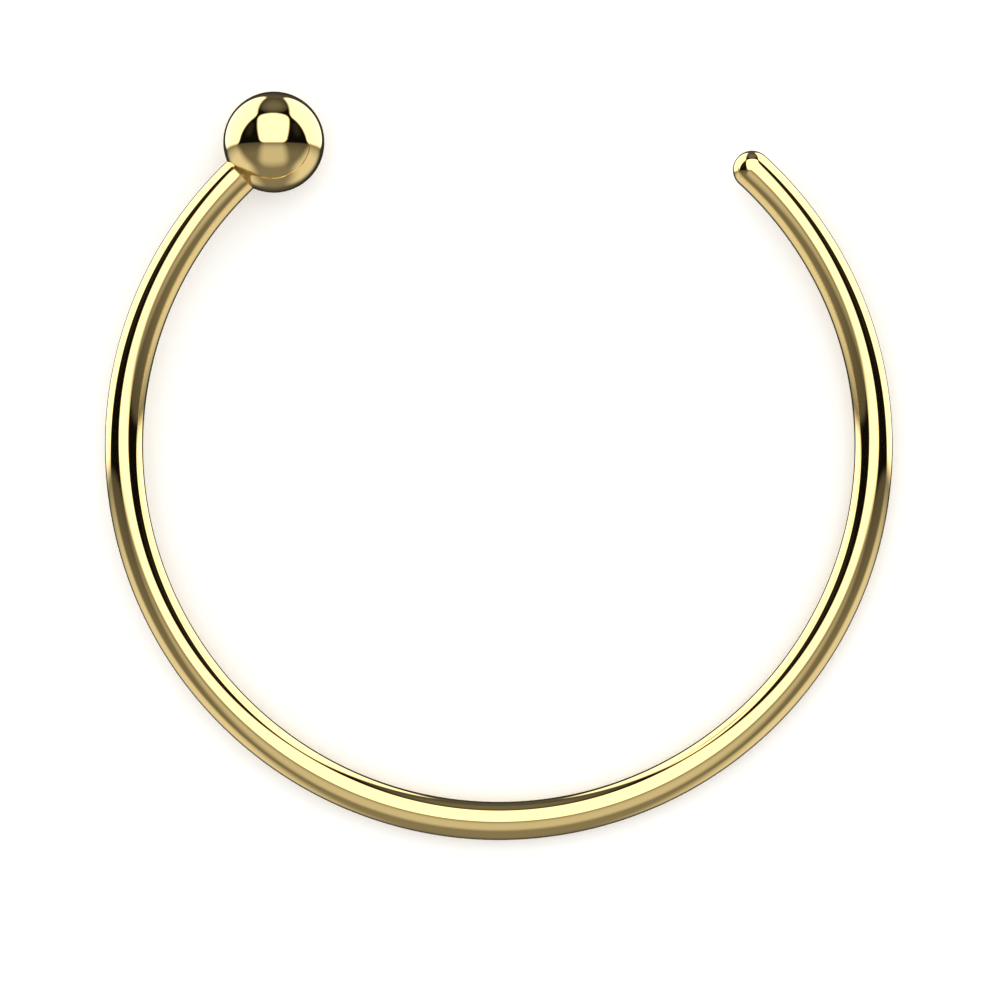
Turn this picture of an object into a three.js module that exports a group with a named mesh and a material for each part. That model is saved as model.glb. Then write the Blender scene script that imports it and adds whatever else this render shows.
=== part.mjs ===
// Open nose hoop: one piece of round gold wire bent to most of a circle, with a ball soldered on one end and
// the other end rounded, so that it slides through a piercing. Millimetres, +Z up. The hoop lies on its side
// on the plane Z = 0, as it rests by itself: the ball is thicker than the wire, so the hoop leans a little
// and touches the plane at the ball and at a point of the wire across from it.
import * as THREE from "three";

// Driving dimensions. A bearing is an angle round the hoop's centre, anticlockwise from +X seen from above.
const INNER_DIAMETER = 9.5;
const WIRE_DIAMETER = 0.51;
const BALL_DIAMETER = 1.35;
const BALL_BEARING = THREE.MathUtils.degToRad(126.5);
const TIP_BEARING = THREE.MathUtils.degToRad(47.5);

// How finely the round surfaces are divided.
const SIDES = 24;
const BALL_RINGS = 18;
const WIRE_RINGS = 96;
const TIP_RINGS = 6;

const WIRE_RADIUS = WIRE_DIAMETER / 2;
const BALL_RADIUS = BALL_DIAMETER / 2;
const HOOP_RADIUS = INNER_DIAMETER / 2 + WIRE_RADIUS;

// The wire's arc ends at the ball's surface, and the ball's centre is straight on from there.
const BALL_CENTRE_RADIUS = Math.hypot(HOOP_RADIUS, BALL_RADIUS);
const JOINT_BEARING = BALL_BEARING + Math.atan2(BALL_RADIUS, HOOP_RADIUS);
const ARC_ANGLE = 2 * Math.PI + TIP_BEARING - JOINT_BEARING;

// Lengths along the centreline, from the far side of the ball to the end of the tip.
const ARC_START = BALL_DIAMETER;
const ARC_END = ARC_START + HOOP_RADIUS * ARC_ANGLE;

const GOLD = new THREE.MeshStandardMaterial({
  color: new THREE.Color().setRGB(1.0, 0.766, 0.336),
  roughness: 0.05,
  metalness: 1,
});

const UP = new THREE.Vector3(0, 0, 1);

function onBearing(bearing) {
  return new THREE.Vector3(Math.cos(bearing), Math.sin(bearing), 0);
}

// The centreline's point at a length along it, and the way out from the hoop's centre there. The line is
// straight through the ball, round along the hoop, and straight again in the rounded tip.
function centreline(along) {
  const alongArc = THREE.MathUtils.clamp(along, ARC_START, ARC_END);
  const outward = onBearing(JOINT_BEARING + (alongArc - ARC_START) / HOOP_RADIUS);
  const forward = new THREE.Vector3().crossVectors(UP, outward);
  const point = outward.clone().multiplyScalar(HOOP_RADIUS).addScaledVector(forward, along - alongArc);
  return { point, outward };
}

// Half the outline of the unbent pin, as (distance from the centreline, length along it): the ball from its
// far pole to the neck, the wire to the centre of its tip, and the tip's quarter circle.
function pinOutline() {
  const neckAngle = Math.PI - Math.asin(WIRE_RADIUS / BALL_RADIUS);
  const neckAlong = BALL_RADIUS * (1 - Math.cos(neckAngle));
  const outline = [new THREE.Vector2(0, 0)];
  for (let ring = 1; ring <= BALL_RINGS; ring++) {
    const angle = (neckAngle * ring) / BALL_RINGS;
    outline.push(new THREE.Vector2(BALL_RADIUS * Math.sin(angle), BALL_RADIUS * (1 - Math.cos(angle))));
  }
  for (let ring = 1; ring <= WIRE_RINGS; ring++) {
    outline.push(new THREE.Vector2(WIRE_RADIUS, THREE.MathUtils.lerp(neckAlong, ARC_END, ring / WIRE_RINGS)));
  }
  for (let ring = 1; ring < TIP_RINGS; ring++) {
    const angle = (Math.PI / 2) * (ring / TIP_RINGS);
    outline.push(new THREE.Vector2(WIRE_RADIUS * Math.cos(angle), ARC_END + WIRE_RADIUS * Math.sin(angle)));
  }
  outline.push(new THREE.Vector2(0, ARC_END + WIRE_RADIUS));
  return outline;
}

// Bends a pin that stands along Y onto the centreline, with its X side turned to the outside of the hoop.
function bendOntoCentreline(geometry) {
  const position = geometry.getAttribute("position");
  for (let i = 0; i < position.count; i++) {
    const { point, outward } = centreline(position.getY(i));
    point.addScaledVector(outward, position.getX(i));
    position.setXYZ(i, point.x, point.y, position.getZ(i));
  }
  geometry.computeVertexNormals();
}

// The hoop's centre of mass in its own plane, from the arc of wire and the ball.
function centreOfMass() {
  const wireMass = Math.PI * WIRE_RADIUS ** 2 * HOOP_RADIUS * ARC_ANGLE;
  const ballMass = (4 / 3) * Math.PI * BALL_RADIUS ** 3;
  const arcCentroidRadius = (HOOP_RADIUS * Math.sin(ARC_ANGLE / 2)) / (ARC_ANGLE / 2);
  const arcMoment = onBearing(JOINT_BEARING + ARC_ANGLE / 2).multiplyScalar(arcCentroidRadius * wireMass);
  const ballMoment = onBearing(BALL_BEARING).multiplyScalar(BALL_CENTRE_RADIUS * ballMass);
  return arcMoment.add(ballMoment).divideScalar(wireMass + ballMass);
}

// How the hoop leans when ball and wire both touch the plane and the wire touches it at this bearing.
function leanTouchingAt(bearing) {
  const lowSide = onBearing(bearing);
  const ballReach = onBearing(BALL_BEARING).multiplyScalar(BALL_CENTRE_RADIUS).dot(lowSide);
  const slope = (BALL_RADIUS - WIRE_RADIUS) / (HOOP_RADIUS - ballReach);
  const massHeight = WIRE_RADIUS + slope * (HOOP_RADIUS - centreOfMass().dot(lowSide));
  return { lowSide, angle: Math.asin(slope), massHeight };
}

// The hoop rolls on its two touching points until its centre of mass is as low as it gets.
function restingLean() {
  const steps = 360;
  let lowest = leanTouchingAt(BALL_BEARING + Math.PI);
  for (let step = 0; step < steps; step++) {
    const lean = leanTouchingAt(BALL_BEARING + Math.PI / 2 + (Math.PI * step) / steps);
    if (lean.massHeight < lowest.massHeight) lowest = lean;
  }
  return lowest;
}

function makeNoseHoop() {
  const geometry = new THREE.LatheGeometry(pinOutline(), SIDES);
  bendOntoCentreline(geometry);
  const hoop = new THREE.Mesh(geometry, GOLD);
  hoop.name = "nose_hoop";
  return hoop;
}

// Leans the hoop as it rests, and puts the middle of its footprint at the origin.
function layDown(hoop) {
  const { lowSide, angle } = restingLean();
  hoop.quaternion.setFromAxisAngle(new THREE.Vector3().crossVectors(UP, lowSide), angle);
  const box = new THREE.Box3().setFromObject(hoop, true);
  const centre = box.getCenter(new THREE.Vector3());
  hoop.position.set(-centre.x, -centre.y, -box.min.z);
}

const noseRing = new THREE.Group();
const noseHoop = makeNoseHoop();
layDown(noseHoop);
noseRing.add(noseHoop);

export default noseRing;
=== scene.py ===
"""An open nose hoop of polished gold wire with a soldered ball, lying on its side on a pale studio floor."""

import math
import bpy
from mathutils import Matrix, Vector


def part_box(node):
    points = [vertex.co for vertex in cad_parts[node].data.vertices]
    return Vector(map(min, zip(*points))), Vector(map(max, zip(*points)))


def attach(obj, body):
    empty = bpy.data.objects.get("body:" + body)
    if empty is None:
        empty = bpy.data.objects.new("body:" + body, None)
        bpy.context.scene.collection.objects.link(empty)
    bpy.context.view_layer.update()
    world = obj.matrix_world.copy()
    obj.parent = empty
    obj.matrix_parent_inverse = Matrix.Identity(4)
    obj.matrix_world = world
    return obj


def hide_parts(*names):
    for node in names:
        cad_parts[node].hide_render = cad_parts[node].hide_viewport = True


bl_info = {
    "name": "Gold Nose Hoop",
    "version": (1, 0, 0),
    "blender": (4, 5, 0),
    "location": "View3D > Sidebar > Nose Hoop",
    "description": "Bends a polished gold nose hoop with a soldered ball, and sets up the studio around it",
    "category": "Add Mesh",
}

from collections import namedtuple

import bpy
from mathutils import Matrix, Vector

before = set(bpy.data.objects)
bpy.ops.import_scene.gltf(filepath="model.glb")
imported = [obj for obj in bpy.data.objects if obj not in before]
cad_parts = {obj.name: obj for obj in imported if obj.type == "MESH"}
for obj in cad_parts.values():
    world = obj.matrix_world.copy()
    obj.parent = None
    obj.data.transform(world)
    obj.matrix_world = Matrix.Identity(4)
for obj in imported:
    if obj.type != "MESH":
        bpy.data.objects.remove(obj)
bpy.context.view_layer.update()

HOOP_NODE = "nose_hoop"
HOOP_PIECE = "gold_nose_hoop"

MM = 0.001
UP = Vector((0, 0, 1))

# The vector attribute in which every point of the metal keeps its place on the straight pin before bending:
# out from the hoop along X, along the wire along Y, and up from the hoop's plane along Z.
PIN_PLACE = "pin_place"


# --- What a user can change -------------------------------------------------------------------------------


class HoopSizes(bpy.types.PropertyGroup):
    """The hoop's sizes. A bearing is an angle round the hoop's centre, anticlockwise from its right."""

    inner_diameter: bpy.props.FloatProperty(
        name="Inner diameter",
        description="Width of the open space inside the hoop",
        default=9.5 * MM,
        min=4 * MM,
        subtype="DISTANCE",
        unit="LENGTH",
    )
    wire_diameter: bpy.props.FloatProperty(
        name="Wire diameter",
        description="Thickness of the round wire",
        default=0.51 * MM,
        min=0.2 * MM,
        subtype="DISTANCE",
        unit="LENGTH",
    )
    ball_diameter: bpy.props.FloatProperty(
        name="Ball diameter",
        description="Width of the ball that stops the hoop in the piercing",
        default=1.35 * MM,
        min=0.6 * MM,
        subtype="DISTANCE",
        unit="LENGTH",
    )
    solder_radius: bpy.props.FloatProperty(
        name="Solder radius",
        description="Radius of the small hollow of solder between wire and ball",
        default=0.015 * MM,
        min=0.001 * MM,
        subtype="DISTANCE",
        unit="LENGTH",
    )
    ball_bearing: bpy.props.FloatProperty(
        name="Ball bearing",
        description="Where the ball sits round the hoop",
        default=math.radians(126.5),
        subtype="ANGLE",
        unit="ROTATION",
    )
    tip_bearing: bpy.props.FloatProperty(
        name="Tip bearing",
        description="Where the rounding of the free end begins round the hoop",
        default=math.radians(47.5),
        subtype="ANGLE",
        unit="ROTATION",
    )
    sides: bpy.props.IntProperty(
        name="Sides",
        description="Faces round the wire",
        default=96,
        min=12,
    )
    wire_rings: bpy.props.IntProperty(
        name="Wire rings",
        description="Faces along the wire",
        default=360,
        min=24,
    )


class GoldFinish(bpy.types.PropertyGroup):
    """The polished gold."""

    colour: bpy.props.FloatVectorProperty(
        name="Gold",
        description="Colour of the polished gold",
        default=(1.0, 0.766, 0.336),
        min=0,
        max=1,
        subtype="COLOR",
    )
    solder_colour: bpy.props.FloatVectorProperty(
        name="Solder",
        description="Colour of the solder seam, which is a little redder than the wire",
        default=(1.0, 0.70, 0.28),
        min=0,
        max=1,
        subtype="COLOR",
    )
    polish: bpy.props.FloatProperty(
        name="Roughness",
        description="Roughness of the cleanest polish",
        default=0.018,
        min=0,
        max=1,
        subtype="FACTOR",
    )
    haze: bpy.props.FloatProperty(
        name="Haze",
        description="How much rougher the most handled places are",
        default=0.025,
        min=0,
        max=1,
        subtype="FACTOR",
    )
    line_depth: bpy.props.FloatProperty(
        name="Line depth",
        description="Depth of the fine lines that drawing and polishing leave",
        default=0.00003 * MM,
        min=0,
        subtype="DISTANCE",
        unit="LENGTH",
    )


class StudioSetup(bpy.types.PropertyGroup):
    """Camera, floor and light. The lights that the gold reflects stand round the hoop as round a portrait.
    Their up is from the hoop's centre towards its open end, and their front is straight out of its plane."""

    lens: bpy.props.FloatProperty(
        name="Lens",
        description="Focal length, long so that the hoop shows its true outline",
        default=240,
        min=20,
        subtype="DISTANCE_CAMERA",
        unit="CAMERA",
    )
    view_width: bpy.props.FloatProperty(
        name="View width",
        description="How much of the hoop's plane the camera takes in",
        default=13.354 * MM,
        subtype="DISTANCE",
        unit="LENGTH",
    )
    view_middle: bpy.props.FloatVectorProperty(
        name="View middle",
        description="Middle of the camera's view, from the hoop's centre",
        default=(0.016 * MM, -0.719 * MM),
        size=2,
        subtype="XYZ_LENGTH",
        unit="LENGTH",
    )
    floor_light: bpy.props.FloatProperty(
        name="Floor light",
        description="Brightness of the white surroundings that light the floor",
        default=1.6,
        min=0,
    )
    overhead_power: bpy.props.FloatProperty(
        name="Overhead light",
        description="Power of the soft light over the floor",
        default=0.1,
        min=0,
        unit="POWER",
    )
    softbox_width: bpy.props.FloatProperty(
        name="Softbox width",
        description="Width of each softbox",
        default=1.0,
        min=0.1,
        subtype="DISTANCE",
        unit="LENGTH",
    )
    softbox_brightness: bpy.props.FloatProperty(
        name="Softboxes",
        description="Brightness of the softboxes as the gold reflects them",
        default=1.72,
        min=0,
    )
    front_glow: bpy.props.FloatProperty(
        name="Front glow",
        description="Brightness of the ground in front, where it reflects the front softbox",
        default=0.44,
        min=0,
    )
    side_glow: bpy.props.FloatProperty(
        name="Side glow",
        description="Brightness of the ground at the sides, where it reflects the side softboxes",
        default=0.60,
        min=0,
    )
    wall_glow: bpy.props.FloatProperty(
        name="Wall glow",
        description="Brightness of the dim walls between the softboxes",
        default=0.018,
        min=0,
    )


# --- Node trees -------------------------------------------------------------------------------------------


def put_in(tree, socket, value):
    """Links a node's input to another node's output, or sets it to a plain value."""
    if isinstance(value, NodeNumber):
        value = value.socket
    if isinstance(value, bpy.types.NodeSocket):
        tree.links.new(value, socket)
    else:
        socket.default_value = value


def add_node(tree, kind, inputs=None, **settings):
    """A new node with its settings and inputs. An input is named, or numbered where names repeat."""
    node = tree.nodes.new(kind)
    for name, value in settings.items():
        setattr(node, name, value)
    for key, value in (inputs or {}).items():
        put_in(tree, node.inputs[key], value)
    return node


class NodeNumber:
    """A number in a node tree, which adds, multiplies and so on as a plain number does. It is a node's
    output, or a plain number that the nodes after it take in."""

    def __init__(self, tree, socket):
        self.tree = tree
        self.socket = socket

    def maths(self, operation, *others):
        inputs = dict(enumerate((self, *others)))
        node = add_node(self.tree, "ShaderNodeMath", inputs, operation=operation)
        return NodeNumber(self.tree, node.outputs[0])

    def __add__(self, other):
        return self.maths("ADD", other)

    def __sub__(self, other):
        return self.maths("SUBTRACT", other)

    def __mul__(self, other):
        return self.maths("MULTIPLY", other)

    def __truediv__(self, other):
        return self.maths("DIVIDE", other)

    def __neg__(self):
        return self.maths("MULTIPLY", -1.0)

    def sin(self):
        return self.maths("SINE")

    def cos(self):
        return self.maths("COSINE")

    def mapped(self, from_low, from_high, to_low=0.0, to_high=1.0, smooth=False):
        """This number's place between two numbers, kept within them, as the same place between two others."""
        inputs = {
            "Value": self,
            "From Min": from_low,
            "From Max": from_high,
            "To Min": to_low,
            "To Max": to_high,
        }
        curve = "SMOOTHSTEP" if smooth else "LINEAR"
        node = add_node(self.tree, "ShaderNodeMapRange", inputs, interpolation_type=curve)
        return NodeNumber(self.tree, node.outputs["Result"])


def vector_of(tree, x, y, z):
    """A vector in a node tree, from its X, Y and Z."""
    return add_node(tree, "ShaderNodeCombineXYZ", {"X": x, "Y": y, "Z": z}).outputs["Vector"]


def parts_of(tree, vector):
    """The X, Y and Z of a vector in a node tree."""
    split = add_node(tree, "ShaderNodeSeparateXYZ", {"Vector": vector})
    return [NodeNumber(tree, split.outputs[axis]) for axis in "XYZ"]


# --- The hoop's shape -------------------------------------------------------------------------------------

HOOP_INPUTS = (
    ("Hoop Radius", "NodeSocketFloat"),
    ("Wire Radius", "NodeSocketFloat"),
    ("Ball Radius", "NodeSocketFloat"),
    ("Solder Radius", "NodeSocketFloat"),
    ("Ball Bearing", "NodeSocketFloat"),
    ("Tip Bearing", "NodeSocketFloat"),
    ("Sides", "NodeSocketInt"),
    ("Wire Rings", "NodeSocketInt"),
    ("Metal", "NodeSocketMaterial"),
)
BALL_RINGS = 64
SOLDER_RINGS = 8
TIP_RINGS = 24

# Points nearer than this are merged, which closes the sheet's seam and its two poles.
CLOSING_DISTANCE = 0.0001 * MM


def outline_arc(ring, first_ring, rings, radius, start, sweep):
    """How far an arc of the pin's outline has come at a ring, from its own start: out from the pin's axis and
    along it. The arc spans a number of rings from its first."""
    angle = ring.mapped(first_ring, first_ring + rings, start, start + sweep)
    return (angle.cos() - start.cos()) * radius, (angle.sin() - start.sin()) * radius


def pin_outline(tree, ring, wire_rings, sizes):
    """The straight pin's distance from its axis and place along it, at a ring counted from the ball's far
    pole: round the ball, through the hollow of solder, straight along the wire and round the tip."""
    ball, wire, solder, pin_end = sizes
    level = NodeNumber(tree, 0.0)
    quarter = NodeNumber(tree, math.pi / 2)

    # The centre of the hollow's circle, out from the pin's axis and along from the ball's centre. The hollow
    # begins where the line between the two centres crosses the ball.
    solder_out = wire + solder
    solder_along = ((ball + solder).maths("POWER", 2) - solder_out.maths("POWER", 2)).maths("SQRT")
    ball_end = solder_along.maths("ARCTAN2", solder_out)

    neck_first = BALL_RINGS
    wire_first = neck_first + SOLDER_RINGS
    tip_first = wire_rings + wire_first
    ball_out, ball_along = outline_arc(ring, 0, BALL_RINGS, ball, -quarter, quarter + ball_end)
    neck_out, neck_along = outline_arc(ring, neck_first, SOLDER_RINGS, solder, ball_end + math.pi, -ball_end)
    wire_along = ring.mapped(wire_first, tip_first) * (pin_end - ball - solder_along)
    tip_out, tip_along = outline_arc(ring, tip_first, TIP_RINGS, wire, level, quarter)
    return ball_out + neck_out + tip_out, ball_along + neck_along + wire_along + tip_along


def hoop_tree():
    """Geometry nodes that sweep the pin's outline round its axis, and bend the pin into the hoop."""
    tree = bpy.data.node_groups.new("Bent Pin Hoop", "GeometryNodeTree")
    for name, kind in HOOP_INPUTS:
        tree.interface.new_socket(name, in_out="INPUT", socket_type=kind)
    tree.interface.new_socket("Hoop", in_out="OUTPUT", socket_type="NodeSocketGeometry")
    given = tree.nodes.new("NodeGroupInput").outputs
    hoop, wire, ball, solder, ball_bearing, tip_bearing, sides, wire_rings = (
        NodeNumber(tree, given[name]) for name, kind in HOOP_INPUTS[:-1]
    )

    # The pin begins at the ball's far pole and goes straight through the ball. Its arc runs from the ball's
    # near pole, on the joint's bearing, to where the tip's rounding begins.
    joint_bearing = ball_bearing + ball.maths("ARCTAN2", hoop)
    arc_start = ball * 2.0
    arc_end = arc_start + (tip_bearing + 2 * math.pi - joint_bearing) * hoop

    rings = wire_rings + (BALL_RINGS + SOLDER_RINGS + TIP_RINGS)
    sheet = add_node(
        tree,
        "GeometryNodeMeshGrid",
        {"Size X": 1.0, "Size Y": 1.0, "Vertices X": rings + 1, "Vertices Y": sides + 1},
    )
    sheet_x, sheet_y, _ = parts_of(tree, tree.nodes.new("GeometryNodeInputPosition").outputs[0])
    ring = (sheet_x + 0.5) * rings
    turn = (sheet_y + 0.5) * (2 * math.pi)

    out, along = pin_outline(tree, ring, wire_rings, (ball, wire, solder, arc_end))
    pin_x = out * turn.cos()
    pin_z = out * turn.sin()

    # What lies past either end of the arc goes straight on.
    along_arc = along.maths("MAXIMUM", arc_start).maths("MINIMUM", arc_end)
    bearing = joint_bearing + (along_arc - arc_start) / hoop
    from_centre = hoop + pin_x
    past_arc = along - along_arc
    bent = vector_of(
        tree,
        bearing.cos() * from_centre - bearing.sin() * past_arc,
        bearing.sin() * from_centre + bearing.cos() * past_arc,
        pin_z,
    )

    shape = sheet.outputs["Mesh"]
    unwrapped = vector_of(tree, along / (arc_end + wire), sheet_y + 0.5, 0.0)
    shape = add_node(
        tree,
        "GeometryNodeStoreNamedAttribute",
        {"Geometry": shape, "Name": "UVMap", "Value": unwrapped},
        data_type="FLOAT2",
        domain="CORNER",
    ).outputs[0]
    shape = add_node(
        tree,
        "GeometryNodeStoreNamedAttribute",
        {"Geometry": shape, "Name": PIN_PLACE, "Value": vector_of(tree, pin_x, along, pin_z)},
        data_type="FLOAT_VECTOR",
        domain="POINT",
    ).outputs[0]
    shape = add_node(tree, "GeometryNodeSetPosition", {"Geometry": shape, "Position": bent}).outputs[0]
    shape = add_node(
        tree, "GeometryNodeMergeByDistance", {"Geometry": shape, "Distance": CLOSING_DISTANCE}
    ).outputs[0]
    shape = add_node(tree, "GeometryNodeSetShadeSmooth", {"Geometry": shape}).outputs[0]
    shape = add_node(tree, "GeometryNodeRealizeInstances", {"Geometry": shape}).outputs[0]
    shape = add_node(
        tree, "GeometryNodeSetMaterial", {"Geometry": shape, "Material": given["Metal"]}
    ).outputs[0]
    add_node(tree, "NodeGroupOutput", {"Hoop": shape})
    return tree


def hoop_radius(sizes):
    """The radius of the wire's centreline."""
    return (sizes.inner_diameter + sizes.wire_diameter) / 2


def make_hoop_mesh(context, sizes, metal):
    """The bent hoop as a plain mesh, flat about its own centre."""
    tree = hoop_tree()
    values = {
        "Hoop Radius": hoop_radius(sizes),
        "Wire Radius": sizes.wire_diameter / 2,
        "Ball Radius": sizes.ball_diameter / 2,
        "Solder Radius": sizes.solder_radius,
        "Ball Bearing": sizes.ball_bearing,
        "Tip Bearing": sizes.tip_bearing,
        "Sides": sizes.sides,
        "Wire Rings": sizes.wire_rings,
        "Metal": metal,
    }
    maker = bpy.data.objects.new("hoop_maker", bpy.data.meshes.new("hoop_maker"))
    context.collection.objects.link(maker)
    bend = maker.modifiers.new("Bend", "NODES")
    bend.node_group = tree
    for socket in tree.interface.items_tree:
        if socket.in_out == "INPUT":
            bend[socket.identifier] = values[socket.name]
    depsgraph = context.evaluated_depsgraph_get()
    mesh = bpy.data.meshes.new_from_object(
        maker.evaluated_get(depsgraph), preserve_all_data_layers=True, depsgraph=depsgraph
    )
    bpy.data.objects.remove(maker)
    return mesh


# --- How the hoop lies ------------------------------------------------------------------------------------

RESTING_STEP = math.radians(0.5)
ALLOWED_MISFIT = 0.02 * MM


def on_bearing(bearing):
    """The way out from the hoop's centre on a bearing."""
    return Vector((math.cos(bearing), math.sin(bearing), 0))


def centre_of_mass(sizes):
    """The hoop's centre of mass in its own plane, from the arc of wire and the ball."""
    radius, wire, ball = hoop_radius(sizes), sizes.wire_diameter / 2, sizes.ball_diameter / 2
    joint_bearing = sizes.ball_bearing + math.atan2(ball, radius)
    half_arc = (2 * math.pi + sizes.tip_bearing - joint_bearing) / 2
    wire_mass = math.pi * wire**2 * radius * 2 * half_arc
    ball_mass = 4 / 3 * math.pi * ball**3
    arc_moment = on_bearing(joint_bearing + half_arc) * (radius * math.sin(half_arc) / half_arc * wire_mass)
    ball_moment = on_bearing(sizes.ball_bearing) * (math.hypot(radius, ball) * ball_mass)
    return (arc_moment + ball_moment) / (wire_mass + ball_mass)


def resting_turn(sizes):
    """How the hoop leans: the ball is thicker than the wire, so it touches the floor at the ball and at a
    point of the wire across from it, and rolls on these until its centre of mass is as low as it gets."""
    radius, wire, ball = hoop_radius(sizes), sizes.wire_diameter / 2, sizes.ball_diameter / 2
    ball_place = on_bearing(sizes.ball_bearing) * math.hypot(radius, ball)
    mass_place = centre_of_mass(sizes)

    def slope(low_side):
        return (ball - wire) / (radius - ball_place.dot(low_side))

    def mass_height(low_side):
        return slope(low_side) * (radius - mass_place.dot(low_side))

    first = sizes.ball_bearing + math.pi / 2
    across = [on_bearing(first + step * RESTING_STEP) for step in range(round(math.pi / RESTING_STEP))]
    low_side = min(across, key=mass_height)
    return Matrix.Rotation(math.asin(slope(low_side)), 4, UP.cross(low_side))


def resting_place(sizes):
    """The matrix that takes the hoop from about its own centre to where its CAD node lies."""
    turn = resting_turn(sizes)
    axis = turn @ UP
    low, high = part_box(HOOP_NODE)

    def reach(direction):
        """How far the hoop's ring reaches from its centre along a row axis."""
        leaning = max(0.0, 1 - axis.dot(direction) ** 2)
        return hoop_radius(sizes) * math.sqrt(leaning) + sizes.wire_diameter / 2

    centre = Vector(((low.x + high.x) / 2, low.y + reach(Vector((0, 1, 0))), low.z + reach(UP)))
    return Matrix.Translation(centre) @ turn


def check_fit(piece):
    """Stops where the hoop doesn't fill the same box as its CAD node."""
    low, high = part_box(HOOP_NODE)
    corners = [Vector(corner) for corner in piece.bound_box]
    for axis in range(3):
        reached = [corner[axis] for corner in corners]
        misfit = max(abs(min(reached) - low[axis]), abs(max(reached) - high[axis]))
        if misfit > ALLOWED_MISFIT:
            raise RuntimeError(f"{piece.name} doesn't fit the CAD node {HOOP_NODE} along axis {axis}")


# --- Polished gold ----------------------------------------------------------------------------------------

# How fine each pattern is along the pin's own axes, in noise cells for each metre.
DRAWN_LINES = (22000, 700, 22000)
POLISH_LINES = (9000, 9000, 26000)
SCRATCHES = (2600, 900, 2600)
HANDLING = (900, 500, 900)
TONE = (350, 200, 350)

# How strong each pattern is. Roughness is what a pattern adds where it is strongest, and a pair is the range
# of its noise that counts.
DRAWN_ROUGHNESS = 0.006
POLISH_LINES_ON_WIRE = 0.3
SCRATCH_WIDTH = 0.006
SCRATCH_STRENGTH = 0.6
SCRATCH_ROUGHNESS = 0.03
HANDLED_NOISE = (0.35, 0.7)
TONE_NOISE = (0.3, 0.7)
DARKEST_TONE = 0.965

# The solder seam lies round the neck, whose place along the pin is a share of the ball's diameter.
NECK_PLACE = 0.98
SEAM_CORE = 0.01 * MM
SEAM_REACH = 0.05 * MM
SEAM_ROUGHNESS = 0.10
SEAM_TINT = 0.7

# The lines of drawing set in over this length of wire, from where the ball ends.
LINES_SET_IN = 0.2 * MM


def stretched_noise(tree, place, scale, detail=2.0):
    """Noise with its own scale along each axis of the pin."""
    mapped = add_node(tree, "ShaderNodeMapping", {"Vector": place, "Scale": scale}).outputs[0]
    noise = add_node(tree, "ShaderNodeTexNoise", {"Vector": mapped, "Scale": 1.0, "Detail": detail})
    return NodeNumber(tree, noise.outputs["Fac"])


def hairlines(tree, place, scale, width):
    """Thin wandering lines where a noise crosses its middle value: 1 on a line and 0 off it."""
    crossing = (stretched_noise(tree, place, scale, detail=0.0) - 0.5).maths("ABSOLUTE")
    return crossing.mapped(0.0, width, 1.0, 0.0, smooth=True)


def make_gold(sizes, finish):
    """Mirror-polished gold: fine lines left by drawing and polishing, haze where it is handled, and a solder
    seam at the neck that is a little redder and duller."""
    material = bpy.data.materials.new("polished_gold")
    material.use_nodes = True
    tree = material.node_tree
    shader = tree.nodes["Principled BSDF"]
    place = add_node(tree, "ShaderNodeAttribute", attribute_name=PIN_PLACE).outputs["Vector"]
    _, pin_along, _ = parts_of(tree, place)

    off_neck = (pin_along - sizes.ball_diameter * NECK_PLACE).maths("ABSOLUTE")
    seam = off_neck.mapped(SEAM_CORE, SEAM_REACH, 1.0, 0.0, smooth=True)
    on_wire = pin_along.mapped(sizes.ball_diameter, sizes.ball_diameter + LINES_SET_IN, smooth=True)

    drawn_lines = stretched_noise(tree, place, DRAWN_LINES) * on_wire
    polish_lines = stretched_noise(tree, place, POLISH_LINES) * on_wire.mapped(0, 1, 1, POLISH_LINES_ON_WIRE)
    scratches = hairlines(tree, place, SCRATCHES, SCRATCH_WIDTH) * SCRATCH_STRENGTH
    handled = stretched_noise(tree, place, HANDLING, detail=4.0).mapped(*HANDLED_NOISE, smooth=True)

    added = handled * finish.haze + drawn_lines * DRAWN_ROUGHNESS + scratches * SCRATCH_ROUGHNESS
    roughness = added + seam * SEAM_ROUGHNESS + finish.polish
    put_in(tree, shader.inputs["Roughness"], roughness)

    tone = stretched_noise(tree, place, TONE).mapped(*TONE_NOISE, DARKEST_TONE, 1.0)
    shaded = add_node(
        tree,
        "ShaderNodeVectorMath",
        {0: tuple(finish.colour), "Scale": tone},
        operation="SCALE",
    ).outputs["Vector"]
    tinted = add_node(
        tree,
        "ShaderNodeMix",
        {"Factor": seam * SEAM_TINT, "A": shaded, "B": (*finish.solder_colour, 1.0)},
        data_type="RGBA",
    )
    put_in(tree, shader.inputs["Base Color"], tinted.outputs["Result"])

    height = drawn_lines + polish_lines - scratches
    bump = add_node(
        tree,
        "ShaderNodeBump",
        {"Height": height, "Strength": 1.0, "Distance": finish.line_depth},
    )
    put_in(tree, shader.inputs["Normal"], bump.outputs["Normal"])
    shader.inputs["Metallic"].default_value = 1.0
    return material


# --- Studio -----------------------------------------------------------------------------------------------

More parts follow.
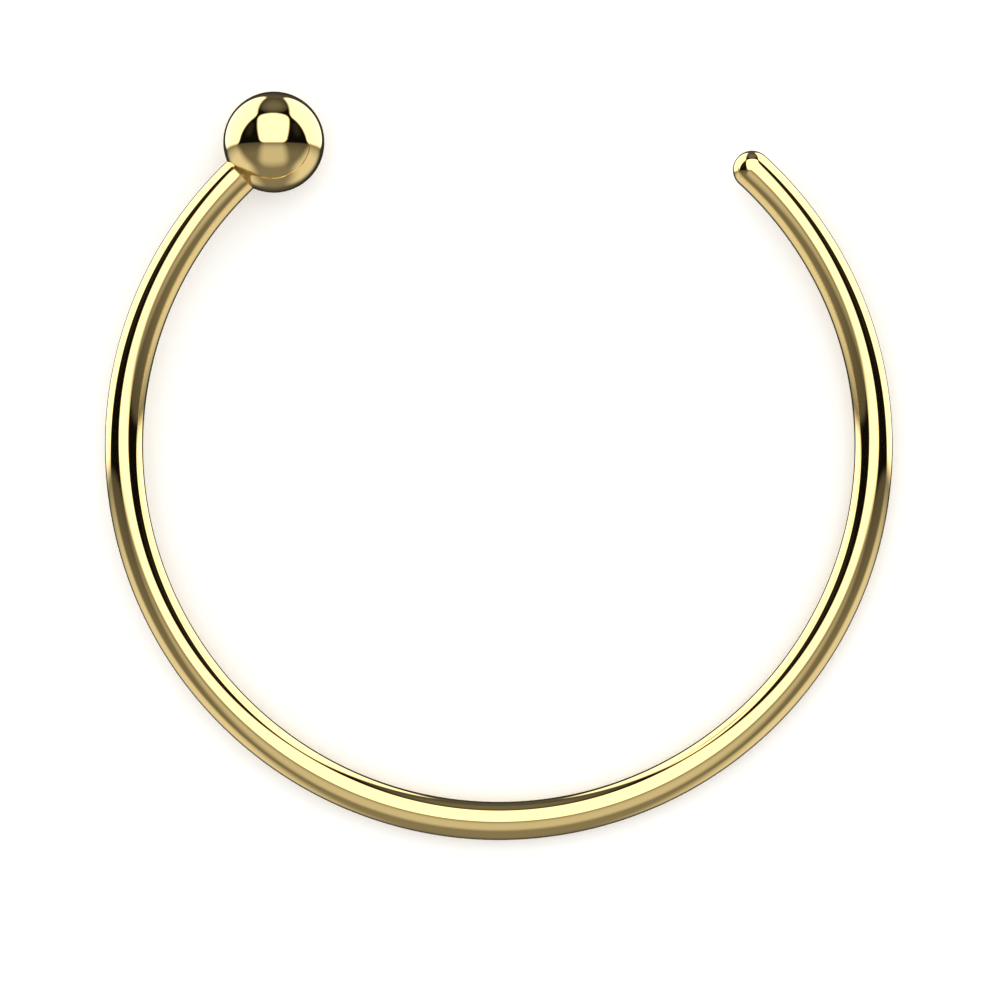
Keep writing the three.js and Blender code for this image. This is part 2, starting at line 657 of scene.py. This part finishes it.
# Azimuths round the hoop, from its front. Panels of light stand there, which only the gold reflects. Each
# leans from its foot to its head, and fades out across its rounded rim. Lengths are shares of half the width
# of a softbox, and distances and heights are from the hoop's centre.
FRONT = (0.0,)
SIDES = (math.radians(113.8), math.radians(-113.8))
WALLS = (math.radians(59), math.radians(-59))
LightPanel = namedtuple(
    "LightPanel",
    "name setting azimuths foot_distance foot_height head_distance head_height half_width corner fade",
)
LIGHT_PANELS = (
    LightPanel("softbox", "softbox_brightness", FRONT + SIDES, 1.67, -0.15, 0.60, 1.59, 1.0, 0.37, 0.19),
    LightPanel("front_glow", "front_glow", FRONT, 1.44, 0.06, 0.46, -1.16, 0.89, 0.55, 0.55),
    LightPanel("side_glow", "side_glow", SIDES, 1.44, 0.06, 0.42, -1.19, 0.89, 0.60, 0.60),
    LightPanel("wall_glow", "wall_glow", WALLS, 2.0, 0.15, 2.0, 1.80, 0.55, 0.55, 0.55),
)

# How bright the gold sees the room, as a share of full white.
DARK_ROOM = 0.004
CEILING = 0.16
BACK_WALL = 0.10
GROUND_FAR = 0.07
GROUND_NEAR = 0.18
GROUND_UNDER = 0.24
GROUND_TINT = (1.03, 1.0, 0.94)

# Where each part of the room sets in and is whole, by how far a direction rises or leans back: 1 is straight
# up or straight back, and -1 straight down or straight to the front.
CEILING_RISE = (0.91, 0.99)
GROUND_EDGE_RISE = (-0.035, -0.075)
GROUND_NEAR_RISE = (0.0, -0.41)
GROUND_UNDER_RISE = (-0.6, -1.0)
BACK_WALL_LEAN = (0.2, 0.5)

# Where the back wall and the ground dim towards the very back, and what is left of each there.
BACK_WALL_DIMS = (0.6, 0.9)
BACK_WALL_LEFT = 0.3
GROUND_DIMS = (0.55, 0.95)
GROUND_LEFT = 0.2

FLOOR_REACH = 1.0
FLOOR_WHITE = (0.9, 0.9, 0.9, 1.0)
OVERHEAD_WIDTH = 0.2
OVERHEAD_HEIGHT = 0.3

# The nearest that the camera sees, as a share of its distance from the hoop.
CAMERA_CLIP = 0.01


def reflection_only(card):
    """Lets the gold reflect a card that neither the camera nor the floor sees."""
    card.visible_camera = False
    card.visible_diffuse = False
    card.visible_transmission = False
    card.visible_volume_scatter = False
    card.visible_shadow = False


def glow_material(panel, half_height, brightness):
    """Light in the shape of a rounded rectangle, added to whatever is behind it."""
    material = bpy.data.materials.new(panel.name)
    material.use_nodes = True
    # Only the gold's own reflections find the panel, so it isn't sampled as a lamp.
    material.cycles.emission_sampling = "NONE"
    tree = material.node_tree
    tree.nodes.clear()
    across, along, _ = parts_of(tree, tree.nodes.new("ShaderNodeTexCoord").outputs["UV"])
    past = []
    for place, half in ((across, panel.half_width), (along, half_height)):
        from_middle = (place - 0.5).maths("ABSOLUTE") * (2 * half)
        past.append((from_middle - (half - panel.corner)).maths("MAXIMUM", 0.0))
    rim = add_node(
        tree, "ShaderNodeVectorMath", {0: vector_of(tree, *past, 0.0)}, operation="LENGTH"
    ).outputs["Value"]
    lit = NodeNumber(tree, rim).mapped(panel.corner - panel.fade, panel.corner, 1.0, 0.0, smooth=True)
    glow = add_node(tree, "ShaderNodeEmission", {"Strength": lit * brightness}).outputs[0]
    clear = tree.nodes.new("ShaderNodeBsdfTransparent").outputs[0]
    both = add_node(tree, "ShaderNodeAddShader", {0: glow, 1: clear}).outputs[0]
    add_node(tree, "ShaderNodeOutputMaterial", {"Surface": both})
    return material


def make_card(context, name, corners, material):
    """A flat card of four corners, which is part of the stage and not of the hoop."""
    mesh = bpy.data.meshes.new(name)
    mesh.from_pydata(corners, [], [(0, 1, 2, 3)])
    mesh.uv_layers.new(name="UVMap").data.foreach_set("uv", (0, 0, 1, 0, 1, 1, 0, 1))
    mesh.materials.append(material)
    card = bpy.data.objects.new(name, mesh)
    context.collection.objects.link(card)
    return card


def make_light_panels(context, panel, place, studio):
    """The light panels of one row, one at each of its azimuths."""
    foot = Vector((0, panel.foot_height, panel.foot_distance))
    head = Vector((0, panel.head_height, panel.head_distance))
    side = Vector((panel.half_width, 0, 0))
    material = glow_material(panel, (head - foot).length / 2, getattr(studio, panel.setting))
    for number, azimuth in enumerate(panel.azimuths, 1):
        spin = place @ Matrix.Rotation(azimuth, 4, "Y") @ Matrix.Scale(studio.softbox_width / 2, 4)
        corners = [spin @ corner for corner in (foot - side, foot + side, head + side, head - side)]
        reflection_only(make_card(context, f"{panel.name}_{number}", corners, material))


def make_room(scene, place, studio):
    """The surroundings: white to the camera and the floor, and to the gold a dark room with a dim ceiling and
    back wall and a warm grey ground."""
    world = bpy.data.worlds.new("studio_room")
    scene.world = world
    world.use_nodes = True
    tree = world.node_tree
    tree.nodes.clear()
    towards = tree.nodes.new("ShaderNodeTexCoord").outputs["Generated"]
    turn = place.to_3x3()

    def leaning(direction):
        """How much each direction of the room leans towards one of the hoop's own axes, from -1 to 1."""
        inputs = {0: towards, 1: turn @ Vector(direction)}
        dot = add_node(tree, "ShaderNodeVectorMath", inputs, operation="DOT_PRODUCT")
        return NodeNumber(tree, dot.outputs["Value"])

    rise = leaning((0, 1, 0))
    back = leaning((0, 0, -1))
    ceiling = rise.mapped(*CEILING_RISE, 0.0, CEILING)
    back_wall = back.mapped(*BACK_WALL_LEAN, 0.0, BACK_WALL)
    back_wall = back_wall * back.mapped(*BACK_WALL_DIMS, 1.0, BACK_WALL_LEFT)
    above = ceiling + back_wall + DARK_ROOM
    near = rise.mapped(*GROUND_NEAR_RISE, GROUND_FAR, GROUND_NEAR)
    under = rise.mapped(*GROUND_UNDER_RISE, 0.0, GROUND_UNDER - GROUND_NEAR, smooth=True)
    ground = (near + under) * back.mapped(*GROUND_DIMS, 1.0, GROUND_LEFT)
    below = rise.mapped(*GROUND_EDGE_RISE, smooth=True)
    tinted = add_node(
        tree, "ShaderNodeMix", {"Factor": below, "A": (1, 1, 1, 1), "B": (*GROUND_TINT, 1)}, data_type="RGBA"
    ).outputs["Result"]
    room = add_node(
        tree,
        "ShaderNodeBackground",
        {"Color": tinted, "Strength": above + (ground - above) * below},
    ).outputs[0]
    white = add_node(tree, "ShaderNodeBackground", {"Strength": studio.floor_light}).outputs[0]
    path = tree.nodes.new("ShaderNodeLightPath")
    seen = add_node(
        tree, "ShaderNodeMixShader", {0: path.outputs["Is Glossy Ray"], 1: white, 2: room}
    ).outputs[0]
    add_node(tree, "ShaderNodeOutputWorld", {"Surface": seen})


def make_floor(context):
    """A plain white floor, which the gold doesn't reflect."""
    material = bpy.data.materials.new("studio_floor")
    material.use_nodes = True
    shader = material.node_tree.nodes["Principled BSDF"]
    shader.inputs["Base Color"].default_value = FLOOR_WHITE
    shader.inputs["Roughness"].default_value = 1.0
    shader.inputs["Specular IOR Level"].default_value = 0.0
    corners = [(x * FLOOR_REACH, y * FLOOR_REACH, 0) for x, y in ((-1, -1), (1, -1), (1, 1), (-1, 1))]
    floor = make_card(context, "studio_floor", corners, material)
    floor.visible_glossy = False


def make_overhead_light(context, studio):
    """A wide soft light straight over the floor, for the shadow under the hoop."""
    light = bpy.data.lights.new("overhead_light", "AREA")
    light.size = OVERHEAD_WIDTH
    light.energy = studio.overhead_power
    lamp = bpy.data.objects.new("overhead_light", light)
    lamp.location = (0, 0, OVERHEAD_HEIGHT)
    lamp.visible_glossy = False
    lamp.visible_camera = False
    context.collection.objects.link(lamp)


def make_camera(context, place, studio):
    """A camera straight over the hoop's own plane, with the ball at the upper left."""
    camera = bpy.data.cameras.new("camera")
    camera.lens = studio.lens
    distance = studio.view_width * camera.lens / camera.sensor_width
    camera.clip_start = distance * CAMERA_CLIP
    holder = bpy.data.objects.new("camera", camera)
    holder.matrix_world = place @ Matrix.Translation((*studio.view_middle, distance))
    context.collection.objects.link(holder)
    context.scene.camera = holder


# --- Operators and panel ----------------------------------------------------------------------------------


class NOSEHOOP_OT_make_hoop(bpy.types.Operator):
    """Bends the gold wire with its ball into a nose hoop, where its CAD node lies"""

    bl_idname = "nosehoop.make_hoop"
    bl_label = "Make Nose Hoop"
    bl_options = {"REGISTER", "UNDO"}

    def execute(self, context):
        sizes = context.scene.nosehoop_sizes
        gold = make_gold(sizes, context.scene.nosehoop_finish)
        mesh = make_hoop_mesh(context, sizes, gold)
        mesh.transform(resting_place(sizes))
        piece = bpy.data.objects.new(HOOP_PIECE, mesh)
        context.collection.objects.link(piece)
        check_fit(piece)
        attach(piece, "root")
        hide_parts(HOOP_NODE)
        return {"FINISHED"}


class NOSEHOOP_OT_set_studio(bpy.types.Operator):
    """Puts the floor, the softboxes, the light and the camera round the hoop"""

    bl_idname = "nosehoop.set_studio"
    bl_label = "Set Up Studio"
    bl_options = {"REGISTER", "UNDO"}

    def execute(self, context):
        scene = context.scene
        studio = scene.nosehoop_studio
        place = resting_place(scene.nosehoop_sizes)
        make_floor(context)
        make_overhead_light(context, studio)
        for panel in LIGHT_PANELS:
            make_light_panels(context, panel, place, studio)
        make_room(scene, place, studio)
        make_camera(context, place, studio)
        scene.view_settings.view_transform = "Standard"
        return {"FINISHED"}


class NOSEHOOP_PT_sidebar(bpy.types.Panel):
    """Lists what the nose hoop and its studio are made from"""

    bl_label = "Gold Nose Hoop"
    bl_idname = "NOSEHOOP_PT_sidebar"
    bl_space_type = "VIEW_3D"
    bl_region_type = "UI"
    bl_category = "Nose Hoop"

    def draw(self, context):
        scene = context.scene
        groups = (
            ("Sizes", scene.nosehoop_sizes, None),
            ("Gold", scene.nosehoop_finish, NOSEHOOP_OT_make_hoop),
            ("Studio", scene.nosehoop_studio, NOSEHOOP_OT_set_studio),
        )
        for title, group, operator in groups:
            column = self.layout.box().column()
            column.label(text=title)
            for name in group.__annotations__:
                column.prop(group, name)
            if operator:
                column.operator(operator.bl_idname)


CLASSES = (
    HoopSizes,
    GoldFinish,
    StudioSetup,
    NOSEHOOP_OT_make_hoop,
    NOSEHOOP_OT_set_studio,
    NOSEHOOP_PT_sidebar,
)
SCENE_GROUPS = {
    "nosehoop_sizes": HoopSizes,
    "nosehoop_finish": GoldFinish,
    "nosehoop_studio": StudioSetup,
}


def register():
    for cls in CLASSES:
        bpy.utils.register_class(cls)
    for name, group in SCENE_GROUPS.items():
        setattr(bpy.types.Scene, name, bpy.props.PointerProperty(type=group))


def unregister():
    for name in SCENE_GROUPS:
        delattr(bpy.types.Scene, name)
    for cls in reversed(CLASSES):
        bpy.utils.unregister_class(cls)


def main():
    register()
    bpy.ops.nosehoop.make_hoop()
    bpy.ops.nosehoop.set_studio()


if __name__ == "__main__":
    main()
